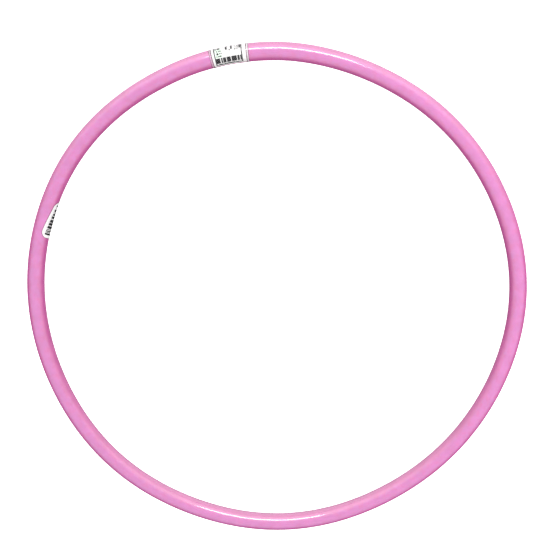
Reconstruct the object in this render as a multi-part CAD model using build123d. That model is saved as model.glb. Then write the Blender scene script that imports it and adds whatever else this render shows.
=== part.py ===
"""Rhythmic gymnastics hoop: one hollow plastic tube, coiled into a circle and closed by a plug inside it.

The hoop lies flat, with the ring's axis along +Z, its centre at the origin and the joint of the tube on +Y.
Places on it are given by two lengths in millimetres: "along", the arc along the ring's centreline from the
joint, counter-clockwise seen from above, and "around", the arc round the tube's surface from its outermost
line, over the top and towards the ring's centre.
"""

from build123d import *
import math
import os

# ring and tube
OUTER_DIAMETER = 600.0
TUBE_DIAMETER = 21.0
TUBE_WALL = 1.5
TUBE_RADIUS = TUBE_DIAMETER / 2
BORE_RADIUS = TUBE_RADIUS - TUBE_WALL
RING_RADIUS = OUTER_DIAMETER / 2 - TUBE_RADIUS
JOINT_ANGLE = 90.0

# plug that joins the two ends
PLUG_LENGTH = 70.0
PLUG_CORE_RADIUS = 7.5
PLUG_BORE_RADIUS = 5.0
PLUG_END_CHAMFER = 0.8
COLLAR_WIDTH = 0.8
COLLAR_RADIUS = TUBE_RADIUS - 0.2
RIB_COUNT = 4
RIB_PITCH = 7.0
RIB_FIRST = 6.0
RIB_LENGTH = 4.0
RIB_CREST_RADIUS = BORE_RADIUS - 0.02
RIB_TOE_RADIUS = PLUG_CORE_RADIUS + 0.1

# staples, one on each side of the seam
STAPLE_FROM_SEAM = 16.0
STAPLE_WIRE = 0.8
STAPLE_CROWN = 10.0
STAPLE_LEG = 6.5
STAPLE_BEND = 1.0
STAPLE_PROUD = 0.12

# paper label and clear tape over the joint
LABEL_LENGTH = 39.0
LABEL_HEIGHT = 30.0
LABEL_THICK = 0.12
LABEL_LOWER_EDGE = 28.9
TAPE_WIDTH = 45.0
TAPE_THICK = 0.2

# price sticker, rolled on at a slant on the inner side
STICKER_LENGTH = 45.0
STICKER_WIDTH = 25.0
STICKER_CORNER = 8.0
STICKER_THICK = 0.12
STICKER_ALONG = 305.0
STICKER_AROUND = 34.4
STICKER_SLANT = -10.3
STICKER_OUTLINE_POINTS = 96

# working lengths
CUT_MARGIN = 1.0
SAME_LENGTH = 0.01


def turn(length):
    """Angle, in degrees, of an arc of this length on the ring's centreline."""
    return math.degrees(length / RING_RADIUS)


def cross_plane(along):
    """Plane across the tube: origin on the centreline, x pointing away from the ring's centre."""
    angle = math.radians(JOINT_ANGLE + turn(along))
    outwards = Vector(math.cos(angle), math.sin(angle), 0)
    return Plane(origin=outwards * RING_RADIUS, x_dir=outwards, z_dir=(outwards.Y, -outwards.X, 0))


def ring_piece(section, start, end):
    """Carry a section, drawn round the tube's centre with x outwards, along the ring from start to end."""
    placed = Plane(origin=(RING_RADIUS, 0, 0), x_dir=(1, 0, 0), z_dir=(0, -1, 0)) * section
    piece = revolve(placed, axis=Axis.Z, revolution_arc=turn(end - start))
    return Rot(0, 0, JOINT_ANGLE + turn(start)) * piece


def pipe(outer, inner, start, end):
    """Hollow stretch of the ring."""
    return ring_piece(Circle(outer) - Circle(inner), start, end)


def staple(side):
    """Wire staple on the inner side: a straight crown along the tube and two legs driven outwards."""
    half = STAPLE_CROWN / 2
    corners = [(STAPLE_LEG, -half), (0, -half), (0, half), (STAPLE_LEG, half)]
    wire = FilletPolyline(*corners, radius=STAPLE_BEND)
    start = Plane(origin=wire @ 0, z_dir=wire % 0)
    body = sweep(start * Circle(STAPLE_WIRE / 2), path=wire)
    middle = side * STAPLE_FROM_SEAM
    crown_depth = TUBE_RADIUS - STAPLE_WIRE / 2 + STAPLE_PROUD
    return Rot(0, 0, JOINT_ANGLE + turn(middle)) * Pos(RING_RADIUS - crown_depth, 0, 0) * body


def barb(along, side):
    """One barb of the plug: full size towards the seam, tapering towards the plug's end."""
    crest = cross_plane(side * along) * Circle(RIB_CREST_RADIUS)
    toe = cross_plane(side * (along + RIB_LENGTH)) * Circle(RIB_TOE_RADIUS)
    cone = loft([crest, toe], ruled=True)
    ends = sorted([side * (along - CUT_MARGIN), side * (along + RIB_LENGTH + CUT_MARGIN)])
    return cone - ring_piece(Circle(PLUG_BORE_RADIUS), *ends)


def joint_plug(staples):
    """Connector: a hollow core that follows the ring, a collar at the seam and barbs on both arms."""
    core = pipe(PLUG_CORE_RADIUS, PLUG_BORE_RADIUS, -PLUG_LENGTH / 2, PLUG_LENGTH / 2)
    core = chamfer(core.edges().filter_by(GeomType.CIRCLE).filter_by(is_core_end), PLUG_END_CHAMFER)
    plug = core + pipe(COLLAR_RADIUS, PLUG_BORE_RADIUS, -COLLAR_WIDTH / 2, COLLAR_WIDTH / 2)
    for side in (-1, 1):
        for rib in range(RIB_COUNT):
            plug += barb(RIB_FIRST + rib * RIB_PITCH, side)
    return plug - staples


def is_core_end(edge):
    """True for the outer circle at either end of the plug's core."""
    return abs(edge.radius - PLUG_CORE_RADIUS) < SAME_LENGTH


def hoop_tube(staples):
    """The tube, from one face of the collar round to the other, with the staples' holes and grooves."""
    circumference = 2 * math.pi * RING_RADIUS
    tube = pipe(TUBE_RADIUS, BORE_RADIUS, COLLAR_WIDTH / 2, circumference - COLLAR_WIDTH / 2)
    return tube - staples


def joint_label():
    """Paper label, bent round the tube, from its lower edge on the inner side over to the outer side."""
    skin = Circle(TUBE_RADIUS + LABEL_THICK) - Circle(TUBE_RADIUS)
    last = math.degrees(LABEL_LOWER_EDGE / TUBE_RADIUS)
    span = math.degrees(LABEL_HEIGHT / TUBE_RADIUS)
    wedge = CenterArc((0, 0), TUBE_DIAMETER, last - span, span)
    sector = make_face([wedge, Line((0, 0), wedge @ 0), Line(wedge @ 1, (0, 0))])
    return ring_piece(skin & sector, -LABEL_LENGTH / 2, LABEL_LENGTH / 2)


def joint_tape(label, staples):
    """Clear tape, one turn round the tube, lying on the tube, and over the label and the staples' crowns."""
    film = pipe(TUBE_RADIUS + TAPE_THICK, TUBE_RADIUS, -TAPE_WIDTH / 2, TAPE_WIDTH / 2)
    return film - label - staples


def on_tube(along, around, radius):
    """Point of the torus of this tube radius: along is the true arc on the sticker's side of the ring."""
    tilt = around / TUBE_RADIUS
    side_radius = RING_RADIUS + TUBE_RADIUS * math.cos(STICKER_AROUND / TUBE_RADIUS)
    angle = math.radians(JOINT_ANGLE + turn(STICKER_ALONG)) + along / side_radius
    reach = RING_RADIUS + radius * math.cos(tilt)
    return (reach * math.cos(angle), reach * math.sin(angle), radius * math.sin(tilt))


def price_sticker():
    """Paper sticker with rounded ends: the part of a thin sleeve inside an outline wrapped on at a slant."""
    flat = RectangleRounded(STICKER_LENGTH, STICKER_WIDTH, STICKER_CORNER).face().outer_wire()
    slanted = Rot(0, 0, STICKER_SLANT) * flat
    outline = [slanted @ (i / STICKER_OUTLINE_POINTS) for i in range(STICKER_OUTLINE_POINTS)]
    rims = []
    for radius in (TUBE_RADIUS - CUT_MARGIN, TUBE_RADIUS + CUT_MARGIN):
        points = [on_tube(p.X, STICKER_AROUND + p.Y, radius) for p in outline]
        rims.append(Spline(*points, periodic=True).edge())
    wall = Face.make_surface_from_curves(*rims)
    start = STICKER_ALONG - STICKER_LENGTH
    sleeve = pipe(TUBE_RADIUS + STICKER_THICK, TUBE_RADIUS, start, start + 2 * STICKER_LENGTH)
    pieces = sleeve.split(wall, keep=Keep.ALL)
    return pieces.sort_by(SortBy.VOLUME)[0]


def main():
    os.makedirs("parts", exist_ok=True)
    left = staple(1)
    right = staple(-1)
    label = joint_label()
    pieces = {
        "hoop_tube": hoop_tube([left, right]),
        "joint_plug": joint_plug([left, right]),
        "staple_left": left,
        "staple_right": right,
        "joint_label": label,
        "joint_tape": joint_tape(label, [left, right]),
        "price_sticker": price_sticker(),
    }
    for name, piece in pieces.items():
        export_step(piece, f"parts/{name}.step")


main()
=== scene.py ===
"""Rhythmic gymnastics hoop: the tube, label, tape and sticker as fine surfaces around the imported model.

Places on the hoop are given in tube coordinates, in metres: "along" is the arc of the ring's centreline from
the joint, counter-clockwise seen from above, "around" is the arc round the tube from its outermost line, over
the top and towards the ring's centre, and "height" is how far a point lies above the bare tube's surface.
"""

import math

import bpy
import numpy as np
from bpy.props import FloatProperty, FloatVectorProperty, PointerProperty
from mathutils import Matrix, Vector


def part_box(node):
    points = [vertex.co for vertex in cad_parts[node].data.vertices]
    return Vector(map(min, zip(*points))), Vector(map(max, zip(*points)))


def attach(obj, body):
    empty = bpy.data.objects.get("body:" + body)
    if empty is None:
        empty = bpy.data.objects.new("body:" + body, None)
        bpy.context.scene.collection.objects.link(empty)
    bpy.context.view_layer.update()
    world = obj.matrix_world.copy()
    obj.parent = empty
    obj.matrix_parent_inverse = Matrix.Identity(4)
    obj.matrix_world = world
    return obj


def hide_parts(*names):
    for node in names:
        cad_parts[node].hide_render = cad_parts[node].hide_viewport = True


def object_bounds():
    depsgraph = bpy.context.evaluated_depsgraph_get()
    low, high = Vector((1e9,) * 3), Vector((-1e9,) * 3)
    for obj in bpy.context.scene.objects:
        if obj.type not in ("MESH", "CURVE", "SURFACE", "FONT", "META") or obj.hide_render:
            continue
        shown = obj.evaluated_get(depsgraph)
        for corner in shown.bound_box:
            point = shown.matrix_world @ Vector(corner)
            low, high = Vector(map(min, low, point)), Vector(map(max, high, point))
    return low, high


bl_info = {
    "name": "Rhythmic hoop",
    "version": (1, 0, 0),
    "blender": (4, 5, 0),
    "location": "3D View > Sidebar > Hoop",
    "description": "Builds a gymnastics hoop with its joint label, tape and price sticker",
    "category": "Add Mesh",
}

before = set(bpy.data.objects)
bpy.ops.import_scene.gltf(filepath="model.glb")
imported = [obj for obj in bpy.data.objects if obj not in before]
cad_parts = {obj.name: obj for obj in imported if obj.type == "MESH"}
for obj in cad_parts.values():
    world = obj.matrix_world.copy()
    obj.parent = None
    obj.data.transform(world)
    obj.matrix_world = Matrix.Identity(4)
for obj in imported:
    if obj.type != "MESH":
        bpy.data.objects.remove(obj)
CAD_LOW, CAD_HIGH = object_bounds()

MM = 0.001


def tube_sizes():
    """Radius of the ring's centreline and of the tube, to a tenth of a millimetre, from the tube's box."""
    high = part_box("hoop_tube")[1]
    tube = round(high[2], 4)
    return round(high[0], 4) - tube, tube


RING, TUBE = tube_sizes()
TURN = 2 * math.pi * TUBE
LAP = 2 * math.pi * RING
JOINT_ANGLE = math.pi / 2
INNER_LINE = TURN / 2
UV_NAME = "surface"


# ---------------------------------------------------------------- settings


def length(name, description, default):
    """A length property in metres."""
    return FloatProperty(name=name, description=description, default=default, unit="LENGTH", precision=5)


def colour(name, description, default):
    """A colour property in linear RGB."""
    return FloatVectorProperty(
        name=name, description=description, default=default, subtype="COLOR", min=0, max=1
    )


def amount(name, description, default):
    """A plain factor between nothing and full."""
    return FloatProperty(name=name, description=description, default=default, subtype="FACTOR", min=0, max=1)


def angle(name, description, degrees):
    """An angle property, given in degrees."""
    return FloatProperty(name=name, description=description, default=math.radians(degrees), unit="ROTATION")


def brightness(name, description, default):
    """Brightness of a light or of part of the room."""
    return FloatProperty(name=name, description=description, default=default, min=0)


class HoopTubeSettings(bpy.types.PropertyGroup):
    wall: length("Wall", "Thickness of the tube's wall", 1.5 * MM)
    seam_gap: length("Seam gap", "Gap between the tube's two ends, where the plug's collar shows", 0.8 * MM)
    lip: length("End rounding", "Rounding of the cut ends", 0.3 * MM)
    wander: length("Out of round", "How far the ring leaves a true circle", 1.35 * MM)
    tint: colour("Plastic", "Colour of the tube's plastic", (0.57, 0.128, 0.355))
    # painted sheen: paler colour painted on the tube's top and bottom lines, where the overhead light shows
    sheen_tint: colour("Painted sheen", "Colour painted on the top and bottom lines as sheen", (0.55, 0.147, 0.422))
    gloss: amount("Roughness", "Roughness of the clean plastic", 0.3)


class HoopLabelSettings(bpy.types.PropertyGroup):
    length: length("Length", "Size of the label along the tube", 39 * MM)
    height: length("Height", "Size of the label round the tube", 30 * MM)
    lower_edge: length("Lower edge", "Where the label ends on the inner side of the ring", 28.9 * MM)
    thickness: length("Thickness", "Thickness of the paper", 0.12 * MM)
    paper: colour("Paper", "Colour of the label's paper", (0.84, 0.84, 0.83))
    ink: colour("Ink", "Colour of the print", (0.012, 0.012, 0.014))
    panel: colour("Panel", "Tint printed behind the small lines", (0.62, 0.84, 0.66))


class HoopTapeSettings(bpy.types.PropertyGroup):
    width: length("Width", "Width of the clear tape", 45 * MM)
    thickness: length("Thickness", "Thickness of the film", 0.05 * MM)
    overlap: length("Overlap", "How far the tape's end lies over its start", 9 * MM)
    start: length("Start", "Where on the tube the tape starts, round from the outermost line", 42 * MM)
    haze: amount("Haze", "How white the air under the film looks beside the label", 0.8)
    # Sets the dark lines at the film's cut edges and the painted shadow in the step at the label's ends.
    edge_lines_and_shadow: amount("Edge lines and shadow", "How dark the lines at the film's rims and the painted shadow at the label's ends are", 0.9)


class HoopStickerSettings(bpy.types.PropertyGroup):
    length: length("Length", "Long side of the sticker", 45 * MM)
    width: length("Width", "Short side of the sticker", 25 * MM)
    corner: length("Corner radius", "Radius of the sticker's corners", 8 * MM)
    around: length("Place round the tube", "Middle of the sticker, round from the outermost line", 34.4 * MM)
    slant: angle("Slant", "How far the sticker is turned from the line of the tube", -10.3)
    thickness: length("Thickness", "Thickness of the paper", 0.12 * MM)
    paper: colour("Paper", "Colour of the sticker's paper", (0.85, 0.85, 0.845))


class HoopStageSettings(bpy.types.PropertyGroup):
    tilt: angle("Camera tilt", "Angle between the camera's axis and the ring's axis", 13.25)
    turn: angle("Camera side", "Direction in which the camera leans, from +X", 73.1)
    roll: angle("Camera roll", "Where the near side of the ring stands in the picture, from its right", 83.15)
    distance: length("Camera distance", "From the ring's centre to the camera", 1.3025)
    lens: FloatProperty(name="Lens", description="Focal length", default=69.52, unit="CAMERA")
    key: brightness("Key light", "Radiance of the key softbox", 10.0)
    fill: brightness("Fill light", "Radiance of the soft panel on one side", 1.5)
    bank: brightness("Bank", "Brightness of the lit backdrop in reflections", 1.8)
    overhead: brightness("Overhead", "Brightness of the ceiling in reflections", 1.3)
    sky: brightness("Sky", "Brightness of the ceiling as a soft light", 1.03)
    ground: brightness("Ground", "Brightness of the floor as a soft light", 0.4)


class HoopSettings(bpy.types.PropertyGroup):
    tube: PointerProperty(type=HoopTubeSettings)
    label: PointerProperty(type=HoopLabelSettings)
    tape: PointerProperty(type=HoopTapeSettings)
    sticker: PointerProperty(type=HoopStickerSettings)
    stage: PointerProperty(type=HoopStageSettings)


# ---------------------------------------------------------------- shape of the hoop


def smooth(value):
    """Smooth step: 0 below 0, 1 above 1, and 3t^2 - 2t^3 between."""
    t = np.clip(value, 0.0, 1.0)
    return t * t * (3 - 2 * t)


def bell(value):
    """Bell curve: 1 at 0, falling as exp(-t^2)."""
    return np.exp(-np.square(value))


def from_joint(along):
    """Signed distance along the ring from the joint, between minus and plus half the ring."""
    return (np.asarray(along) + LAP / 2) % LAP - LAP / 2


def away_from_joint(along):
    """0 where the plug inside holds the tube true, rising to 1 further round the ring."""
    return smooth((np.abs(from_joint(along)) - 32 * MM) / (60 * MM))


LOBES = ((3, 1.0, -1.74), (4, 0.27, 1.15), (5, 0.26, 2.25), (6, 0.18, 0.65), (8, 0.26, 1.03))


def ring_radius(along):
    """Centreline radius: a circle plus low lobes, as a tube coiled by hand springs, but true at the joint."""
    wander = bpy.context.scene.hoop.tube.wander
    turned = np.asarray(along) / RING
    lobes = sum(share * np.cos(count * turned + phase) for count, share, phase in LOBES)
    return RING + wander * away_from_joint(along) * lobes


def tube_relief(along, around):
    """Height of the real tube over a true one: slightly oval from coiling, with a slow ripple along it."""
    tilt = np.asarray(around) / TUBE
    oval = -0.06 * MM * np.cos(2 * tilt)
    ripple = 0.02 * MM * np.sin(along / (17 * MM)) * np.sin(tilt + along / (90 * MM))
    pull = 0.012 * MM * np.sin(along / (6.1 * MM) + 2 * tilt)
    return away_from_joint(along) * (oval + ripple + pull)


def on_hoop(along, around, height):
    """Tube coordinates to points: a circle of the tube's radius plus height, carried round the ring."""
    turned = JOINT_ANGLE + along / RING
    tilt = around / TUBE
    radius = TUBE + height
    reach = ring_radius(along) + radius * np.cos(tilt)
    return np.stack([reach * np.cos(turned), reach * np.sin(turned), radius * np.sin(tilt)], axis=-1)


def grid_quads(rows, columns, wrap_rows=False, wrap_columns=False):
    """Corners of every cell of a grid, as row and column numbers of shape (cells, 4)."""
    row, column = np.meshgrid(
        np.arange(rows if wrap_rows else rows - 1),
        np.arange(columns if wrap_columns else columns - 1),
        indexing="ij",
    )
    row, column = row.ravel(), column.ravel()
    return np.stack([row, row + 1, row + 1, row], 1), np.stack([column, column, column + 1, column + 1], 1)


def add_mesh(name, points, quads, uv, material, sharp_degrees=35):
    """A mesh object at the origin from points, quads and one UV pair for each corner of each quad."""
    mesh = bpy.data.meshes.new(name)
    mesh.from_pydata(points.reshape(-1, 3).tolist(), [], quads.tolist())
    layer = mesh.uv_layers.new(name=UV_NAME)
    layer.data.foreach_set("uv", uv.astype(np.float32).ravel())
    mesh.polygons.foreach_set("use_smooth", np.ones(len(quads), dtype=bool))
    mesh.set_sharp_from_angle(angle=math.radians(sharp_degrees))
    mesh.materials.append(material)
    mesh.update()
    piece = bpy.data.objects.new(name, mesh)
    bpy.context.scene.collection.objects.link(piece)
    return piece


def add_slab(name, outer, inner, u, v, material):
    """A closed thin sheet: two grids of points, one above the other, joined by walls round their rim.

    The upper grid is outer, the lower one inner, and u and v are the sheet's own coordinates at every point.
    """
    rows, columns = u.shape
    points = np.concatenate([outer.reshape(-1, 3), inner.reshape(-1, 3)])
    number = np.arange(rows * columns).reshape(rows, columns)
    row, column = grid_quads(rows, columns)
    top = number[row, column]
    below = top[:, ::-1] + rows * columns
    rim = np.concatenate([number[0], number[1:, -1], number[-1, -2::-1], number[-2:0:-1, 0]])
    following = np.roll(rim, -1)
    walls = np.stack([following, rim, rim + rows * columns, following + rows * columns], 1)
    quads = np.concatenate([top, below, walls])
    flat = np.stack([u.ravel(), v.ravel()], 1)
    uv = np.concatenate([flat, flat])[quads]
    return add_mesh(name, points, quads, uv, material)


def stand_for(piece, node):
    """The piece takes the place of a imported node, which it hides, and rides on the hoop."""
    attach(piece, "root")
    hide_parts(node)


# ---------------------------------------------------------------- nodes


def add(tree, kind, inputs=None, **settings):
    """A node with its settings and inputs: an input that is a socket is linked, any other is a value."""
    node = tree.nodes.new(kind)
    for name, value in settings.items():
        setattr(node, name, value)
    for name, value in (inputs or {}).items():
        if isinstance(value, bpy.types.NodeSocket):
            tree.links.new(value, node.inputs[name])
        else:
            node.inputs[name].default_value = value
    return node


def calc(tree, operation, first, second=0.0, third=0.0, clamp=False):
    """Result socket of a Math node."""
    return add(
        tree, "ShaderNodeMath", {0: first, 1: second, 2: third}, operation=operation, use_clamp=clamp
    ).outputs[0]


def remap(tree, value, low, high, to_low=0.0, to_high=1.0):
    """Value from one range to another, held at its ends, with a smooth change between."""
    inputs = {"Value": value, "From Min": low, "From Max": high, "To Min": to_low, "To Max": to_high}
    return add(tree, "ShaderNodeMapRange", inputs, interpolation_type="SMOOTHSTEP").outputs["Result"]


def blend(tree, factor, first, second, mode="MIX"):
    """Colour of a Mix node."""
    node = add(tree, "ShaderNodeMix", {0: factor, 6: first, 7: second}, data_type="RGBA", blend_type=mode)
    return node.outputs[2]


def noise(tree, vector, scale, detail=2.0, roughness=0.5):
    """Noise texture's value."""
    inputs = {"Vector": vector, "Scale": scale, "Detail": detail, "Roughness": roughness}
    return add(tree, "ShaderNodeTexNoise", inputs).outputs[0]


def stretched(tree, vector, scale):
    """Vector scaled by three factors, to draw a pattern out along one of them."""
    return add(tree, "ShaderNodeMapping", {"Vector": vector, "Scale": scale}).outputs[0]


def rgba(colour_value):
    """A colour with full alpha."""
    return (*colour_value, 1.0)


def new_group(name, inputs, outputs):
    """An empty shader group with float or vector inputs and its outputs, and its two end nodes."""
    group = bpy.data.node_groups.new(name, "ShaderNodeTree")
    for socket_name, default in inputs.items():
        kind = "NodeSocketVector" if default is None else "NodeSocketFloat"
        socket = group.interface.new_socket(name=socket_name, in_out="INPUT", socket_type=kind)
        if default is not None:
            socket.default_value = default
    for socket_name in outputs:
        group.interface.new_socket(name=socket_name, in_out="OUTPUT", socket_type="NodeSocketFloat")
    return group, group.nodes.new("NodeGroupInput").outputs, group.nodes.new("NodeGroupOutput")


def use_group(tree, name, inputs):
    """Outputs of a group placed in a material."""
    return add(tree, "ShaderNodeGroup", inputs, node_tree=bpy.data.node_groups[name]).outputs


def new_material(name, principled):
    """A material with a Principled shader whose plain values are given, and its node tree."""
    material = bpy.data.materials.new(name)
    material.use_nodes = True
    tree = material.node_tree
    shader = tree.nodes["Principled BSDF"]
    for socket, value in principled.items():
        shader.inputs[socket].default_value = value
    return material, tree, shader


def coordinates(tree, output="Object"):
    """Object coordinates, or the piece's own UV map."""
    return add(tree, "ShaderNodeTexCoord").outputs[output]


def set_bump(tree, shader, height, strength, distance):
    """Feeds a height, in units of the distance, to the shader's normal."""
    inputs = {"Height": height, "Strength": strength, "Distance": distance}
    tree.links.new(add(tree, "ShaderNodeBump", inputs).outputs[0], shader.inputs["Normal"])


SCRATCH_TURNS = (0.5, 2.1)


def build_wear_group():
    """Handling wear: fine scratches in two directions, dust specks, and soft smears.

    Scratches are thin level lines of noise drawn out one way, dust is the middle of small Voronoi cells that
    a second noise lets through, and smears are a broad noise.
    """
    results = ("Scratches", "Dust", "Smears")
    group, given, out = new_group("handling wear", {"Vector": None, "Scale": 1.0}, results)
    place = add(group, "ShaderNodeVectorMath", {0: given["Vector"]}, operation="SCALE")
    group.links.new(given["Scale"], place.inputs["Scale"])
    place = place.outputs[0]
    scratches = None
    for turned in SCRATCH_TURNS:
        spun = add(group, "ShaderNodeMapping", {"Vector": place, "Rotation": (0.3, 0.2, turned)}).outputs[0]
        line = noise(group, stretched(group, spun, (40, 900, 400)), 1.0, 1.0)
        thin = remap(group, calc(group, "ABSOLUTE", calc(group, "SUBTRACT", line, 0.5)), 0.0, 0.006, 1.0, 0.0)
        patch = remap(group, noise(group, spun, 60.0, 1.0), 0.6, 0.72)
        seen = calc(group, "MULTIPLY", thin, patch)
        scratches = seen if scratches is None else calc(group, "MAXIMUM", scratches, seen)
    cells = add(group, "ShaderNodeTexVoronoi", {"Vector": place, "Scale": 420.0}).outputs["Distance"]
    speck = remap(group, cells, 0.06, 0.14, 1.0, 0.0)
    let_through = remap(group, noise(group, place, 160.0, 0.0), 0.62, 0.7)
    dust = calc(group, "MULTIPLY", speck, let_through)
    smears = noise(group, place, 22.0, 4.0, 0.6)
    for name, value in zip(results, (scratches, dust, smears)):
        group.links.new(value, out.inputs[name])


def build_paper_group():
    """Paper: a fine fibre tone and a height, from short noise drawn out two ways, plus a broad cloudiness."""
    group, given, out = new_group("paper fibre", {"Vector": None}, ("Tone", "Height"))
    first = noise(group, stretched(group, given["Vector"], (900, 3000, 2000)), 1.0, 3.0)
    second = noise(group, stretched(group, given["Vector"], (3000, 900, 2000)), 1.0, 3.0)
    fibre = calc(group, "MULTIPLY", calc(group, "ADD", first, second), 0.5)
    cloud = noise(group, given["Vector"], 160.0, 3.0)
    fine = remap(group, fibre, 0.3, 0.7, 0.97, 1.0)
    broad = remap(group, cloud, 0.3, 0.7, -0.02, 0.0)
    group.links.new(calc(group, "ADD", fine, broad), out.inputs["Tone"])
    group.links.new(fibre, out.inputs["Height"])


def inside(tree, value, low, high, soft):
    """1 between two limits and 0 outside them, with a soft edge."""
    rise = remap(tree, calc(tree, "SUBTRACT", value, low), -soft, soft)
    fall = remap(tree, calc(tree, "SUBTRACT", high, value), -soft, soft)
    return calc(tree, "MULTIPLY", rise, fall)


FINE_CELL = 0.37
FINE_SEED = 17.0


def build_print_group():
    """One printed band: a rectangle filled by upright strokes of uneven width, as in a bar code.

    The band is cut into Pitch wide cells. Each cell draws a number from its place, and it is inked where that
    number is under Cover. A second, finer set of cells takes slivers out of the first, so widths differ.
    """
    given_values = {
        "X": 0.0, "Y": 0.0, "Left": 0.0, "Right": 1.0, "Low": 0.0, "High": 1.0,
        "Pitch": 0.5, "Cover": 0.6, "Slivers": 0.3, "Seed": 0.0, "Soft": 0.06,
    }
    group, given, out = new_group("printed band", given_values, ("Ink",))
    ink = None
    for share, key, shift in ((1.0, "Cover", 0.0), (FINE_CELL, "Slivers", FINE_SEED)):
        width = calc(group, "MULTIPLY", given["Pitch"], share)
        cell = calc(group, "FLOOR", calc(group, "DIVIDE", given["X"], width))
        row = calc(group, "ADD", given["Seed"], shift)
        place = add(group, "ShaderNodeCombineXYZ", {0: cell, 1: row}).outputs[0]
        drawn = add(group, "ShaderNodeTexWhiteNoise", {"Vector": place}, noise_dimensions="2D")
        under = calc(group, "LESS_THAN", drawn.outputs["Value"], given[key])
        ink = under if ink is None else calc(group, "SUBTRACT", ink, under, clamp=True)
    for axis, low, high in (("X", "Left", "Right"), ("Y", "Low", "High")):
        sides = []
        for first, second in ((given[axis], given[low]), (given[high], given[axis])):
            over = calc(group, "DIVIDE", calc(group, "SUBTRACT", first, second), given["Soft"])
            sides.append(calc(group, "ADD", over, 0.5))
        ink = calc(group, "MULTIPLY", ink, calc(group, "MINIMUM", *sides, clamp=True))
    group.links.new(ink, out.inputs["Ink"])


def build_groups():
    """The effects that more than one material uses, made once."""
    for name, build in (
        ("handling wear", build_wear_group),
        ("paper fibre", build_paper_group),
        ("printed band", build_print_group),
    ):
        if name not in bpy.data.node_groups:
            build()


# ---------------------------------------------------------------- materials


# Colour of the painted shadow round the sticker's edge.
STICKER_EDGE_SHADOW = (0.14, 0.03, 0.07, 1)
# Colour of the dark lines at the film's cut edges and of the painted shadow at the label's ends.
FILM_EDGE_LINE_AND_SHADOW = (0.14, 0.03, 0.08, 1)
TRAPPED_AIR = (0.8, 0.77, 0.8, 1)
DUST = (0.8, 0.66, 0.74, 1)
SCRATCHED = (0.85, 0.5, 0.7, 1)
SOILED_PAPER = (0.62, 0.58, 0.55, 1)


def sticker_edge_shadow(tree, own, sticker):
    """Painted shadow round the sticker's edge: a thin dark line outside a rounded rectangle.

    The tube's own coordinates are turned into the sticker's, and the distance to its outline is that to a
    smaller sharp rectangle, less the corner's radius.
    """
    parts = add(tree, "ShaderNodeSeparateXYZ", {0: own}).outputs
    along = calc(tree, "MULTIPLY", calc(tree, "SUBTRACT", parts[0], sticker_place()), side_share(sticker))
    around = calc(tree, "SUBTRACT", parts[1], sticker.around)
    c, s = math.cos(sticker.slant), math.sin(sticker.slant)
    x = calc(tree, "MULTIPLY_ADD", around, s, calc(tree, "MULTIPLY", along, c))
    y = calc(tree, "MULTIPLY_ADD", along, -s, calc(tree, "MULTIPLY", around, c))
    beyond = []
    for value, size in ((x, sticker.length), (y, sticker.width)):
        over = calc(tree, "SUBTRACT", calc(tree, "ABSOLUTE", value), size / 2 - sticker.corner)
        beyond.append(calc(tree, "MAXIMUM", over, 0.0))
    squares = calc(tree, "MULTIPLY_ADD", beyond[0], beyond[0], calc(tree, "MULTIPLY", beyond[1], beyond[1]))
    distance = calc(tree, "SQRT", squares)
    return inside(tree, distance, sticker.corner - 0.3 * MM, sticker.corner + 0.8 * MM, 0.25 * MM)


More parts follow.
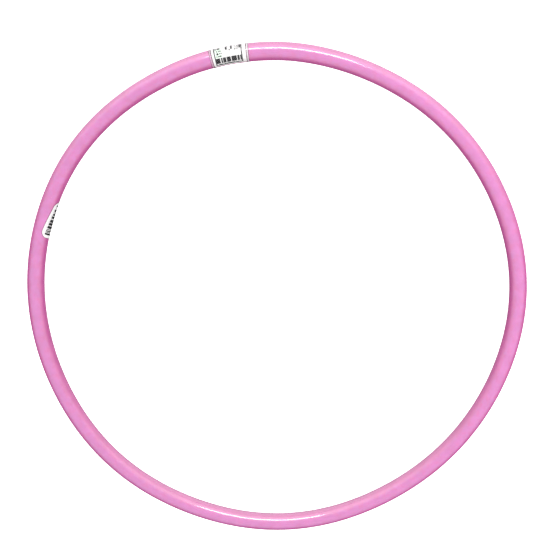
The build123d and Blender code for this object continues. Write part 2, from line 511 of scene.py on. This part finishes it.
def tube_plastic(settings):
    """Glossy, slightly translucent extruded plastic, with flow lines along the tube and light handling wear.

    The top and bottom lines are painted a little paler, a painted sheen of the overhead light: its share is
    the share of up or down in the direction that the surface faces, with a slow mottle added. The gloss is
    all in the the coat, and is held down where the tube is seen almost edge on, so its colour stays in a
    white room.
    """
    values = {
        "IOR": 1.5,
        "Specular IOR Level": 0.0,
        "Subsurface Weight": 0.25,
        "Subsurface Radius": (1.0, 0.35, 0.7),
        "Subsurface Scale": 0.0012,
        "Coat Roughness": 0.1,
        "Coat IOR": 2.0,
    }
    material, tree, shader = new_material("candy pink plastic", values)
    own = coordinates(tree, "UV")
    place = coordinates(tree)
    flow = noise(tree, stretched(tree, own, (9, 1400, 1)), 1.0, 3.0)
    cloud = noise(tree, place, 75.0, 2.0, 0.5)
    mottle = noise(tree, stretched(tree, own, (120, 150, 1)), 1.0, 2.0, 0.5)
    wear = use_group(tree, "handling wear", {"Vector": place, "Scale": 1.0})
    # painted sheen: the lines that face up and down are painted paler, standing in for the overhead light's
    # sheen, with a slow mottle
    around = add(tree, "ShaderNodeSeparateXYZ", {0: own}).outputs[1]
    upright = calc(tree, "ABSOLUTE", calc(tree, "SINE", calc(tree, "MULTIPLY", around, 1 / TUBE)))
    sheen_share = calc(tree, "ADD", upright, remap(tree, mottle, 0.3, 0.7, -0.12, 0.12))
    tint = blend(tree, remap(tree, sheen_share, 0.74, 1.02), rgba(settings.tint), rgba(settings.sheen_tint))
    clouded = blend(tree, 1.0, tint, remap(tree, cloud, 0.3, 0.7, 0.96, 1.04), "MULTIPLY")
    # painted shadow: a thin dark line painted on the tube round the sticker's edge
    edge_lines_and_shadow = sticker_edge_shadow(tree, own, bpy.context.scene.hoop.sticker)
    patchy = remap(tree, noise(tree, place, 420.0, 2.0), 0.3, 0.6, 0.35, 0.8)
    with_edge_shadow = blend(tree, calc(tree, "MULTIPLY", edge_lines_and_shadow, patchy), clouded, STICKER_EDGE_SHADOW)
    dusty = blend(tree, calc(tree, "MULTIPLY", wear["Dust"], 0.3), with_edge_shadow, DUST)
    worn = blend(tree, calc(tree, "MULTIPLY", wear["Scratches"], 0.15), dusty, SCRATCHED)
    tree.links.new(worn, shader.inputs["Base Color"])
    facing = add(tree, "ShaderNodeLayerWeight", {"Blend": 0.5}).outputs["Facing"]
    tree.links.new(remap(tree, facing, 0.45, 0.9, 1.0, 0.2), shader.inputs["Coat Weight"])
    rough = calc(tree, "ADD", settings.gloss, remap(tree, wear["Smears"], 0.45, 0.7, 0.0, 0.06))
    rough = calc(tree, "ADD", rough, calc(tree, "MULTIPLY", wear["Scratches"], 0.2))
    tree.links.new(rough, shader.inputs["Roughness"])
    relief = calc(tree, "SUBTRACT", flow, calc(tree, "MULTIPLY", wear["Scratches"], 0.4))
    set_bump(tree, shader, relief, 0.3, 0.00004)
    return material


def plug_plastic():
    """Unpigmented moulded plastic of the plug: waxy, off-white, with a faint mould texture."""
    values = {
        "IOR": 1.49,
        "Subsurface Weight": 0.4,
        "Subsurface Radius": (1.0, 0.9, 0.8),
        "Subsurface Scale": 0.002,
    }
    material, tree, shader = new_material("natural moulded plastic", values)
    place = coordinates(tree)
    cloud = noise(tree, place, 120.0, 3.0)
    tint = blend(tree, remap(tree, cloud, 0.3, 0.7), (0.8, 0.79, 0.75, 1), (0.66, 0.64, 0.58, 1))
    tree.links.new(tint, shader.inputs["Base Color"])
    tree.links.new(remap(tree, cloud, 0.2, 0.8, 0.35, 0.55), shader.inputs["Roughness"])
    set_bump(tree, shader, noise(tree, place, 2600.0, 2.0), 0.2, 0.00003)
    return material


def staple_steel():
    """Galvanised staple wire: drawn along its length, with a few brown specks."""
    material, tree, shader = new_material("galvanised wire", {"Metallic": 1.0})
    place = coordinates(tree)
    drawn = noise(tree, stretched(tree, place, (300, 5000, 5000)), 1.0, 2.0)
    specks = remap(tree, noise(tree, place, 1900.0, 3.0), 0.63, 0.7)
    steel = blend(tree, drawn, (0.55, 0.56, 0.58, 1), (0.74, 0.74, 0.75, 1))
    tree.links.new(blend(tree, specks, steel, (0.2, 0.1, 0.06, 1)), shader.inputs["Base Color"])
    rough = calc(tree, "ADD", remap(tree, drawn, 0.3, 0.7, 0.25, 0.42), calc(tree, "MULTIPLY", specks, 0.3))
    tree.links.new(rough, shader.inputs["Roughness"])
    set_bump(tree, shader, drawn, 0.3, 0.00002)
    return material


def print_on(tree, x, y, bands):
    """Ink of several printed bands together. X and Y are in millimetres over the sheet."""
    ink = None
    for band in bands:
        strength = band.pop("Strength")
        stamped = use_group(tree, "printed band", {"X": x, "Y": y, **band})["Ink"]
        seen = calc(tree, "MULTIPLY", stamped, strength)
        ink = seen if ink is None else calc(tree, "MAXIMUM", ink, seen)
    return ink


def sheet_position(tree, width, height):
    """The sheet's own coordinates, from its middle, in millimetres."""
    parts = add(tree, "ShaderNodeSeparateXYZ", {0: coordinates(tree, "UV")}).outputs
    x = calc(tree, "MULTIPLY", calc(tree, "SUBTRACT", parts[0], 0.5), width / MM)
    y = calc(tree, "MULTIPLY", calc(tree, "SUBTRACT", parts[1], 0.5), height / MM)
    return x, y


def frame_lines(tree, x, y, half_width, half_height, line):
    """A thin printed frame: inside the outer rectangle and outside one that is a line's width smaller."""
    boxes = []
    for inset in (0.0, line):
        across = inside(tree, x, inset - half_width, half_width - inset, 0.04)
        up = inside(tree, y, inset - half_height, half_height - inset, 0.04)
        boxes.append(calc(tree, "MULTIPLY", across, up))
    return calc(tree, "SUBTRACT", boxes[0], boxes[1], clamp=True)


def paper_sheet(name, paper, ink_tint, size, printed):
    """Printed paper: fibres, slightly soiled rims, and the ink that printed(tree, x, y) gives."""
    material, tree, shader = new_material(name, {"IOR": 1.45, "Specular IOR Level": 0.25})
    x, y = sheet_position(tree, *size)
    fibre = use_group(tree, "paper fibre", {"Vector": coordinates(tree)})
    wear = use_group(tree, "handling wear", {"Vector": coordinates(tree), "Scale": 2.0})
    across = calc(tree, "SUBTRACT", size[0] / MM / 2, calc(tree, "ABSOLUTE", x))
    up = calc(tree, "SUBTRACT", size[1] / MM / 2, calc(tree, "ABSOLUTE", y))
    rim = remap(tree, calc(tree, "MINIMUM", across, up), 0.0, 0.5, 1.0, 0.0)
    soil = calc(tree, "MULTIPLY", rim, remap(tree, wear["Smears"], 0.3, 0.7, 0.1, 0.5))
    clean = blend(tree, 1.0, rgba(paper), fibre["Tone"], "MULTIPLY")
    soiled = blend(tree, soil, clean, SOILED_PAPER)
    ground, ink = printed(tree, x, y, soiled)
    faded = calc(tree, "MULTIPLY", ink, remap(tree, fibre["Height"], 0.25, 0.5, 0.9, 1.0))
    tree.links.new(blend(tree, faded, ground, rgba(ink_tint)), shader.inputs["Base Color"])
    tree.links.new(remap(tree, ink, 0.0, 1.0, 0.62, 0.42), shader.inputs["Roughness"])
    set_bump(tree, shader, fibre["Height"], 0.4, 0.00003)
    return material


FULL_COVER = 1.1


def stroke(left, right, low, high, strength=1.0):
    """A plain printed stroke, or bar, as a band that is inked all over."""
    place = {"Left": left, "Right": right, "Low": low, "High": high}
    return place | {"Cover": FULL_COVER, "Slivers": 0.0, "Strength": strength}


def dashes(left, right, low, high, seed, strength=1.0, pitch=0.55, slivers=0.15):
    """A row of small dashes, like a line of very small print."""
    band = stroke(left, right, low, high, strength)
    return band | {"Pitch": pitch, "Cover": 0.8, "Slivers": slivers, "Seed": seed}


def blocks(edges, low, high, seed, slivers):
    """A bar code: blocks between the two edges of each pair, with slivers taken out of them."""
    return [
        stroke(left, right, low, high) | {"Pitch": 1.3, "Slivers": slivers, "Seed": seed + left}
        for left, right in edges
    ]


def label_print(panel):
    """What is printed on the joint label: a frame, a tinted panel with short lines, strokes and a bar code.

    All places are in millimetres from the label's middle.
    """

    def printed(tree, x, y, ground):
        bands = [
            dashes(-15.2, -9.2, 6.9, 9.6, seed=1, pitch=0.8, slivers=0.03),
            dashes(-13.8, -8.2, 3.4, 4.9, seed=2, strength=0.9, pitch=0.9),
            dashes(-13.6, -7.2, 0.4, 1.7, seed=3, strength=0.85, pitch=0.9),
            stroke(-13.9, -11.7, -0.2, 2.1),
            dashes(-15.4, -8.2, -2.6, -1.2, seed=4, strength=0.95, pitch=1.1),
            stroke(-3.4, -1.3, 4.4, 11.5),
            stroke(2.4, 4.4, 4.4, 11.8),
            dashes(7.4, 10.9, 4.6, 11.5, seed=5, strength=0.75, pitch=1.4),
            stroke(11.8, 13.8, 4.4, 12.2),
            dashes(-1.2, 2.4, 2.9, 4.4, seed=8, strength=0.8, pitch=1.2),
            dashes(6.8, 10.6, 2.8, 4.4, seed=10, pitch=1.2),
            dashes(-5.0, 12.5, -2.6, 2.6, seed=6, strength=0.1, pitch=1.6, slivers=0.5),
            stroke(-13.4, -9.4, -12.6, -11.1),
            dashes(-8.6, 5.6, -12.4, -11.2, seed=12, pitch=1.0, slivers=0.05),
            stroke(6.2, 11.5, -12.3, -11.5, strength=0.7),
        ]
        bars = ((-15.8, -10.9), (-9.9, -4.1), (-3.3, 1.4), (2.3, 8.4), (9.2, 11.7), (12.5, 15.0))
        ink = print_on(tree, x, y, bands + blocks(bars, -10.2, -3.9, seed=7, slivers=0.02))
        lines = frame_lines(tree, calc(tree, "ADD", x, 0.8), y, half_width=16.0, half_height=13.0, line=1.2)
        tinted = calc(tree, "MULTIPLY", inside(tree, x, -15.8, -8.0, 0.6), inside(tree, y, -3.4, 8.0, 0.6))
        ground = blend(tree, calc(tree, "MULTIPLY", tinted, 0.6), ground, rgba(panel))
        return ground, calc(tree, "MAXIMUM", ink, lines)

    return printed


def sticker_print(tree, x, y, ground):
    """What is printed on the price sticker: a bar code along it and rows of small strokes beside it."""
    bars = (
        (-19.0, -16.8), (-16.2, -13.6), (-12.9, -11.9), (-11.2, -7.9), (-7.1, -4.0), (-3.4, 0.6),
        (1.4, 4.4), (5.2, 7.6), (8.4, 9.2), (10.0, 13.0), (14.2, 15.4), (16.2, 18.6),
    )
    bands = [
        dashes(-12.0, 13.0, 9.2, 10.0, seed=22, strength=0.25),
        dashes(-10.0, 9.0, -8.6, -7.4, seed=24, strength=0.7),
    ]
    return ground, print_on(tree, x, y, bands + blocks(bars, -6.0, 8.4, seed=21, slivers=0.1))


def clear_film(settings, label):
    """Clear tape: lets all but its gloss through, hazy where it bridges past the label, with dark lines at
    its rims.

    The gloss is Schlick's rule on the angle to the surface. Haze and the dark lines follow the tape's own
    coordinates: air is caught beside the label, more of it on one side, the film's two cut edges are darker,
    and a painted shadow lies in the step at the label's ends.
    """
    material, tree, shader = new_material("clear film", {"IOR": 1.5})
    parts = add(tree, "ShaderNodeSeparateXYZ", {0: coordinates(tree, "UV")}).outputs
    beside = calc(tree, "ABSOLUTE", parts[0])
    place = coordinates(tree)
    uneven = remap(tree, noise(tree, place, 900.0, 2.0), 0.3, 0.6, 0.55, 1.0)
    air = inside(tree, beside, label.length / 2, settings.width / 2, 0.12 * MM)
    side = remap(tree, parts[0], -10 * MM, 10 * MM, settings.haze, settings.haze * 0.35)
    haze = calc(tree, "MULTIPLY", calc(tree, "MULTIPLY", air, uneven), side)
    cells = add(tree, "ShaderNodeTexVoronoi", {"Vector": place, "Scale": 260.0}).outputs[0]
    gathered = remap(tree, noise(tree, place, 110.0), 0.6, 0.66)
    bubbles = calc(tree, "MULTIPLY", remap(tree, cells, 0.1, 0.22, 1.0, 0.0), gathered)
    haze = calc(tree, "MAXIMUM", haze, calc(tree, "MULTIPLY", bubbles, 0.16))
    rim = inside(tree, beside, settings.width / 2 - 0.5 * MM, settings.width, 0.12 * MM)
    # painted shadow: a dark line painted in the step just outside the label's ends
    step = inside(tree, beside, label.length / 2 - 0.05 * MM, label.length / 2 + 0.7 * MM, 0.12 * MM)
    patchy = remap(tree, noise(tree, place, 420.0, 2.0), 0.3, 0.6, 0.6, 1.0)
    edge_lines_and_shadow = calc(tree, "MULTIPLY", calc(tree, "MAXIMUM", rim, calc(tree, "MULTIPLY", step, 0.9)), patchy)
    edge_lines_and_shadow = calc(tree, "MULTIPLY", edge_lines_and_shadow, settings.edge_lines_and_shadow)
    share = calc(tree, "DIVIDE", edge_lines_and_shadow, calc(tree, "MAXIMUM", calc(tree, "MAXIMUM", edge_lines_and_shadow, haze), 0.02))
    tree.links.new(blend(tree, share, TRAPPED_AIR, FILM_EDGE_LINE_AND_SHADOW), shader.inputs["Base Color"])
    seen = calc(tree, "MAXIMUM", haze, edge_lines_and_shadow)
    facing = add(tree, "ShaderNodeLayerWeight", {"Blend": 0.5}).outputs["Facing"]
    gloss = calc(tree, "MULTIPLY_ADD", calc(tree, "POWER", facing, 5.0), 0.35, 0.015)
    tree.links.new(calc(tree, "MAXIMUM", gloss, seen), shader.inputs["Alpha"])
    tree.links.new(remap(tree, seen, 0.0, 0.1, 1.0, 0.0), shader.inputs["Metallic"])
    wear = use_group(tree, "handling wear", {"Vector": place, "Scale": 1.5})
    tree.links.new(remap(tree, wear["Smears"], 0.4, 0.7, 0.06, 0.16), shader.inputs["Roughness"])
    set_bump(tree, shader, noise(tree, place, 240.0, 1.0), 0.12, 0.0002)
    return material


# ---------------------------------------------------------------- pieces


def spaced(start, end, step):
    """Evenly spaced values from start to end, about one step apart, with both ends."""
    return np.linspace(start, end, int(round(abs(end - start) / step)) + 1)


def tube_profile(settings):
    """Closed outline of the wall, as along and height: out on the surface, round a lip, back in the bore."""
    start = settings.seam_gap / 2
    end = LAP - start
    lip = settings.lip
    near = 30 * MM
    outside = np.concatenate([
        spaced(start + lip, near, 1 * MM)[:-1],
        spaced(near, LAP - near, 2 * MM)[:-1],
        spaced(LAP - near, end - lip, 1 * MM),
    ])
    bore = spaced(end - lip, start + lip, 5 * MM)
    arc = np.linspace(0, math.pi / 2, 5)[1:]
    far_out = (end - lip + lip * np.sin(arc), -lip + lip * np.cos(arc))
    far_in = (end - lip + lip * np.cos(arc), -settings.wall + lip - lip * np.sin(arc))
    near_in = (start + lip - lip * np.sin(arc), -settings.wall + lip - lip * np.cos(arc))
    near_out = (start + lip - lip * np.cos(arc), -lip + lip * np.sin(arc))
    far_face = (np.array([end]), np.array([-settings.wall + lip]))
    near_face = (np.array([start]), np.array([-lip]))
    parts = [
        (outside, np.zeros_like(outside)), far_out, far_face, far_in,
        (bore[1:], np.full_like(bore[1:], -settings.wall)), near_in, near_face,
        (near_out[0][:-1], near_out[1][:-1]),
    ]
    return np.concatenate([part[0] for part in parts]), np.concatenate([part[1] for part in parts])


def make_tube(settings):
    """The hollow tube: the wall's outline, in along and height, turned round the tube's centreline."""
    sides = 56
    along, height = tube_profile(settings)
    around = np.linspace(0, TURN, sides + 1)
    along_grid = along[:, None] + np.zeros(sides)
    around_grid = around[None, :-1] + np.zeros((len(along), 1))
    on_surface = 1 + height[:, None] / settings.wall
    lifted = height[:, None] + tube_relief(along_grid, around_grid) * on_surface
    points = on_hoop(along_grid, around_grid, lifted)
    row, column = grid_quads(len(along), sides, wrap_rows=True, wrap_columns=True)
    quads = (row % len(along)) * sides + column % sides
    uv = np.stack([np.append(along, along[0])[row], around[column]], -1)
    piece = add_mesh("hoop_tube_shell", points, quads, uv, tube_plastic(settings))
    stand_for(piece, "hoop_tube")
    return piece


def label_relief(along, around):
    """Height of the label's underside: dipped over the seam, and puckered on the ring's inner side.

    The inner side of a ring is shorter than its centreline, so paper laid there gathers into small ridges.
    """
    seam = -0.05 * MM * bell(along / (0.9 * MM))
    inward = smooth((around - 15 * MM) / (12 * MM))
    ridges = np.maximum(0, np.cos(along / (1.35 * MM) + 0.8 * np.sin(along / (5 * MM)))) ** 4
    uneven = 0.6 + 0.4 * np.sin(along / (2.9 * MM) + 1.3)
    slack = 0.025 * MM * (1 + np.sin(along / (6 * MM) + around / (4 * MM)))
    return seam + 0.13 * MM * inward * ridges * uneven + slack * smooth(around / (8 * MM))


def make_label(label):
    """The joint label: a rectangle bent round the tube, with its print upright towards the outer side."""
    fine = 0.4 * MM
    along = spaced(-label.length / 2, label.length / 2, fine)[:, None]
    around = spaced(label.lower_edge - label.height, label.lower_edge, fine)[None, :]
    along, around = np.broadcast_arrays(along, around)
    under = 0.01 * MM + tube_relief(along, around) + label_relief(along, around)
    inner = on_hoop(along, around, under)
    outer = on_hoop(along, around, under + label.thickness)
    u = 0.5 - along / label.length
    v = (label.lower_edge - around) / label.height
    size = (label.length, label.height)
    paper = paper_sheet("label paper", label.paper, label.ink, size, label_print(label.panel))
    piece = add_slab("joint_label_sheet", outer, inner, u, v, paper)
    stand_for(piece, "joint_label")
    return piece


def under_tape(along, around, label):
    """Height of what the tape lies on: the label, bridged at its edges, and the staples' crowns."""
    turned = (around - label.lower_edge + TURN / 2) % TURN - TURN / 2 + label.lower_edge
    bridge = 1.3 * MM
    middle = label.lower_edge - label.height / 2
    off_middle = np.abs((turned - middle + TURN / 2) % TURN - TURN / 2)
    beside = smooth((label.length / 2 + bridge - np.abs(along)) / bridge)
    round_it = smooth((label.height / 2 + bridge - off_middle) / bridge)
    paper = beside * round_it * (label.thickness + 0.03 * MM + label_relief(along, turned))
    crown_low, crown_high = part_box("staple_left")
    crown_place = abs((crown_low[0] + crown_high[0]) / 2)
    crown_half = (crown_high[0] - crown_low[0]) / 2
    crown = smooth((crown_half + 0.6 * MM - np.abs(np.abs(along) - crown_place)) / (0.6 * MM))
    reach = 0.6 * MM
    on_line = bell((turned - INNER_LINE) / reach) + bell((turned + INNER_LINE) / reach)
    return np.maximum(paper, 0.16 * MM * crown * on_line)


def saw(along, pitch, depth):
    """Edge left by a tape cutter: a triangle wave along the cut."""
    return depth * np.abs(2 * ((along / pitch) % 1) - 1)


def make_tape(tape, label):
    """One turn of clear tape and its overlap: a strip bent round the tube over the label and staples."""
    across = spaced(-tape.width / 2, tape.width / 2, 0.45 * MM)[:, None]
    share = np.linspace(0, 1, 190)[None, :]
    cut_start = tape.start + saw(across, 1.5 * MM, 0.7 * MM) + 0.02 * across
    cut_end = tape.start + TURN + tape.overlap + saw(across + 0.4 * MM, 1.5 * MM, 0.7 * MM) + 0.03 * across
    around = cut_start + (cut_end - cut_start) * share
    along = across + 0.08 * MM * np.sin(around / (7 * MM))
    lap = smooth((around - tape.start - TURN + 1.2 * MM) / (1.2 * MM)) * (tape.thickness + 0.02 * MM)
    under = 0.02 * MM + tube_relief(along, around) + under_tape(along, around, label) + lap
    inner = on_hoop(along, around, under)
    outer = on_hoop(along, around, under + tape.thickness)
    u = np.broadcast_to(along, around.shape)
    piece = add_slab("joint_tape_film", outer, inner, u, around, clear_film(tape, label))
    stand_for(piece, "joint_tape")
    return piece


def sticker_place():
    """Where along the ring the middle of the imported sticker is."""
    low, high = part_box("price_sticker")
    middle = (np.array(low) + np.array(high)) / 2
    return (math.atan2(middle[1], middle[0]) - JOINT_ANGLE) % (2 * math.pi) * RING


def side_share(sticker):
    """How much shorter the ring is along the sticker's line than along its centreline."""
    return 1 + TUBE / RING * math.cos(sticker.around / TUBE)


def sticker_outline(sticker, samples, columns):
    """Grid over a rectangle with round corners: each column's half width follows the corner's circle."""
    x = sticker.length / 2 * np.sin(np.linspace(-math.pi / 2, math.pi / 2, samples))[:, None]
    into_corner = np.clip(np.abs(x) - (sticker.length / 2 - sticker.corner), 0, sticker.corner)
    half = sticker.width / 2 - sticker.corner + np.sqrt(sticker.corner**2 - into_corner**2)
    y = half * np.linspace(-1, 1, columns)[None, :]
    return np.broadcast_to(x, y.shape), y


def make_sticker(sticker):
    """The price sticker: a rounded rectangle laid on at a slant, puckered across and lifting at its rim.

    Where the ring's inner side hollows away under its middle, the stiff paper stands off in a low tent.
    """
    x, y = sticker_outline(sticker, 90, 60)
    c, s = math.cos(sticker.slant), math.sin(sticker.slant)
    along = sticker_place() + (x * c - y * s) / side_share(sticker)
    around = sticker.around + x * s + y * c
    pucker = np.maximum(0, np.cos(x / (1.5 * MM) + 0.7 * np.sin(x / (4 * MM)))) ** 4
    out_along = np.abs(x) / (sticker.length / 2)
    out_across = np.abs(y) / (sticker.width / 2)
    rim = smooth((out_along - 0.72) / 0.28) + smooth((out_across - 0.86) / 0.14)
    tent = 0.5 * MM * bell(x / (16 * MM)) * bell((y - 4 * MM) / (6 * MM))
    lift = 0.08 * MM * pucker * bell(y / (9 * MM)) + 0.14 * MM * rim + tent
    under = 0.02 * MM + tube_relief(along, around) + lift
    inner = on_hoop(along, around, under)
    outer = on_hoop(along, around, under + sticker.thickness)
    u = 0.5 - x / sticker.length
    v = 0.5 - y / sticker.width
    ink = bpy.context.scene.hoop.label.ink
    paper = paper_sheet("sticker paper", sticker.paper, ink, (sticker.length, sticker.width), sticker_print)
    piece = add_slab("price_sticker_sheet", outer, inner, u, v, paper)
    stand_for(piece, "price_sticker")
    return piece


def finish_hardware():
    """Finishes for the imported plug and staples, which keep their own meshes."""
    plug = plug_plastic()
    steel = staple_steel()
    for node, material in (("joint_plug", plug), ("staple_left", steel), ("staple_right", steel)):
        for slot in bpy.data.objects[node].material_slots:
            slot.material = material


# ---------------------------------------------------------------- stage


def camera_axes(stage):
    """Right, up and back directions of the camera.

    The camera leans from the ring's axis by the tilt, towards the side given by turn, and is rolled so that
    this near side stands at the angle roll in the picture.
    """
    side = Vector((math.cos(stage.turn), math.sin(stage.turn), 0))
    up = Vector((0, 0, 1))
    level = up.cross(side)
    near = math.cos(stage.tilt) * side - math.sin(stage.tilt) * up
    back = math.cos(stage.tilt) * up + math.sin(stage.tilt) * side
    right = math.cos(stage.roll) * near - math.sin(stage.roll) * level
    upwards = math.sin(stage.roll) * near + math.cos(stage.roll) * level
    return right, upwards, back


CAMERA_SHIFT = (0.0099, 0.0313)


def add_camera(stage):
    """Camera on the axis through the ring's centre, shifted so that the ring sits a little left and low."""
    right, upwards, back = camera_axes(stage)
    data = bpy.data.cameras.new("camera")
    data.lens = stage.lens
    data.sensor_width = 36.0
    data.shift_x, data.shift_y = CAMERA_SHIFT
    data.clip_start, data.clip_end = 0.05, 30.0
    camera = bpy.data.objects.new("camera", data)
    turned = Matrix((right, upwards, back)).transposed().to_4x4()
    camera.matrix_world = Matrix.Translation(back * stage.distance) @ turned
    bpy.context.scene.collection.objects.link(camera)
    bpy.context.scene.camera = camera


def add_softbox(name, direction, distance, size, radiance, mirrored=True):
    """A rectangular light aimed at the ring's centre. Its power is radiance times area times pi."""
    data = bpy.data.lights.new(name, "AREA")
    data.shape = "RECTANGLE"
    data.size, data.size_y = size
    data.energy = radiance * math.pi * size[0] * size[1]
    data.color = (1.0, 0.985, 0.985)
    light = bpy.data.objects.new(name, data)
    upwards = camera_axes(bpy.context.scene.hoop.stage)[1]
    forward = direction.normalized()
    wide = upwards.cross(forward).normalized()
    tall = forward.cross(wide)
    turned = Matrix((wide, tall, forward)).transposed().to_4x4()
    light.matrix_world = Matrix.Translation(forward * distance) @ turned
    light.visible_camera = False
    light.visible_glossy = mirrored
    bpy.context.scene.collection.objects.link(light)


def floor_finish():
    """White paper floor, burnt out to the camera. The light it sends up to the hoop is part of the sky's."""
    material, tree, shader = new_material("studio floor", {"Roughness": 0.9})
    tone = remap(tree, noise(tree, coordinates(tree), 3.0, 3.0), 0.3, 0.7, 0.84, 0.88)
    seen = add(tree, "ShaderNodeLightPath").outputs["Is Camera Ray"]
    tree.links.new(blend(tree, 1.0, tone, (1, 0.985, 0.99, 1), "MULTIPLY"), shader.inputs["Base Color"])
    shader.inputs["Emission Color"].default_value = (1, 1, 1, 1)
    tree.links.new(seen, shader.inputs["Emission Strength"])
    return material


def add_floor():
    """A wide plain floor under the hoop's lowest point."""
    half = 5.0
    level = CAD_LOW[2]
    outline = ((-half, -half), (half, -half), (half, half), (-half, half))
    corners = np.array([(x, y, level) for x, y in outline])
    uv = np.array([[(0, 0), (1, 0), (1, 1), (0, 1)]])
    floor = add_mesh("floor", corners, np.array([[0, 1, 2, 3]]), uv, floor_finish())
    floor.visible_glossy = False
    floor.visible_diffuse = False


def add_sky(stage, upwards):
    """The white room: light comes mostly from overhead, and in reflections from the far backdrop too.

    The backdrop's brightness goes by a direction's share along the camera's own upward one, the ceiling's and
    the soft light's by its share along +Z.
    """
    world = bpy.data.worlds.new("studio")
    world.use_nodes = True
    tree = world.node_tree
    sky = tree.nodes["Background"]
    sky.inputs["Color"].default_value = (1.0, 0.985, 0.99, 1)
    shares = []
    for axis in (upwards, (0, 0, 1)):
        towards = {0: coordinates(tree, "Generated"), 1: axis}
        shares.append(add(tree, "ShaderNodeVectorMath", towards, operation="DOT_PRODUCT").outputs["Value"])
    backdrop = remap(tree, shares[0], -0.15, 0.95, 0.0, stage.bank)
    ceiling = remap(tree, shares[1], -0.35, 0.7, 0.05, stage.overhead)
    seen = calc(tree, "ADD", backdrop, ceiling)
    mirrored = add(tree, "ShaderNodeLightPath").outputs["Is Glossy Ray"]
    soft = remap(tree, shares[1], -0.7, 0.8, stage.ground, stage.sky)
    strength = calc(tree, "MULTIPLY_ADD", calc(tree, "SUBTRACT", seen, soft), mirrored, soft)
    tree.links.new(strength, sky.inputs["Strength"])
    bpy.context.scene.world = world


KEY_LEAN = math.radians(30)
KEY_DISTANCE = 4.0
KEY_SIZE = (2.3, 0.75)
PANEL_DISTANCE = 1.2
PANEL_SIZE = (1.0, 1.0)


def add_lights(stage):
    """The room's own light, one strong oblong softbox above the camera and a weak panel on its right."""
    right, upwards, back = camera_axes(stage)
    add_sky(stage, upwards)
    above = math.cos(KEY_LEAN) * back + math.sin(KEY_LEAN) * upwards
    add_softbox("key softbox", above, KEY_DISTANCE, KEY_SIZE, stage.key)
    beside = 0.8 * back + 0.6 * right
    add_softbox("side panel", beside, PANEL_DISTANCE, PANEL_SIZE, stage.fill, mirrored=False)


# ---------------------------------------------------------------- operators


class HOOP_OT_tube(bpy.types.Operator):
    """Make the hollow tube of the ring"""

    bl_idname = "hoop.tube"
    bl_label = "Tube"

    def execute(self, context):
        build_groups()
        make_tube(context.scene.hoop.tube)
        return {"FINISHED"}


class HOOP_OT_joint_label(bpy.types.Operator):
    """Make the paper label over the joint"""

    bl_idname = "hoop.joint_label"
    bl_label = "Joint label"

    def execute(self, context):
        build_groups()
        make_label(context.scene.hoop.label)
        return {"FINISHED"}


class HOOP_OT_joint_tape(bpy.types.Operator):
    """Make the clear tape over the label"""

    bl_idname = "hoop.joint_tape"
    bl_label = "Joint tape"

    def execute(self, context):
        build_groups()
        make_tape(context.scene.hoop.tape, context.scene.hoop.label)
        return {"FINISHED"}


class HOOP_OT_price_sticker(bpy.types.Operator):
    """Make the slanted sticker on the inner side"""

    bl_idname = "hoop.price_sticker"
    bl_label = "Price sticker"

    def execute(self, context):
        build_groups()
        make_sticker(context.scene.hoop.sticker)
        return {"FINISHED"}


class HOOP_OT_hardware(bpy.types.Operator):
    """Give the plug and the staples their finishes"""

    bl_idname = "hoop.hardware"
    bl_label = "Plug and staples"

    def execute(self, context):
        finish_hardware()
        return {"FINISHED"}


class HOOP_OT_stage(bpy.types.Operator):
    """Add the camera, the lights and the floor"""

    bl_idname = "hoop.stage"
    bl_label = "Stage"

    def execute(self, context):
        stage = context.scene.hoop.stage
        add_camera(stage)
        add_lights(stage)
        add_floor()
        context.scene.view_settings.view_transform = "Standard"
        return {"FINISHED"}


STEPS = {
    "stage": "stage",
    "tube": "tube",
    "joint_label": "label",
    "joint_tape": "tape",
    "price_sticker": "sticker",
    "hardware": None,
}


class HOOP_PT_panel(bpy.types.Panel):
    """Lists the hoop's pieces and their settings"""

    bl_label = "Rhythmic hoop"
    bl_idname = "HOOP_PT_panel"
    bl_space_type = "VIEW_3D"
    bl_region_type = "UI"
    bl_category = "Hoop"

    def draw(self, context):
        settings = context.scene.hoop
        for step, group_name in STEPS.items():
            box = self.layout.box()
            box.operator(f"hoop.{step}")
            if group_name:
                group = getattr(settings, group_name)
                for name in group.__annotations__:
                    box.prop(group, name)


CLASSES = (
    HoopTubeSettings,
    HoopLabelSettings,
    HoopTapeSettings,
    HoopStickerSettings,
    HoopStageSettings,
    HoopSettings,
    HOOP_OT_tube,
    HOOP_OT_joint_label,
    HOOP_OT_joint_tape,
    HOOP_OT_price_sticker,
    HOOP_OT_hardware,
    HOOP_OT_stage,
    HOOP_PT_panel,
)


def register():
    for item in CLASSES:
        bpy.utils.register_class(item)
    bpy.types.Scene.hoop = PointerProperty(type=HoopSettings)


def unregister():
    del bpy.types.Scene.hoop
    for item in reversed(CLASSES):
        bpy.utils.unregister_class(item)


def main():
    register()
    for step in STEPS:
        getattr(bpy.ops.hoop, step)()


if __name__ == "__main__":
    main()
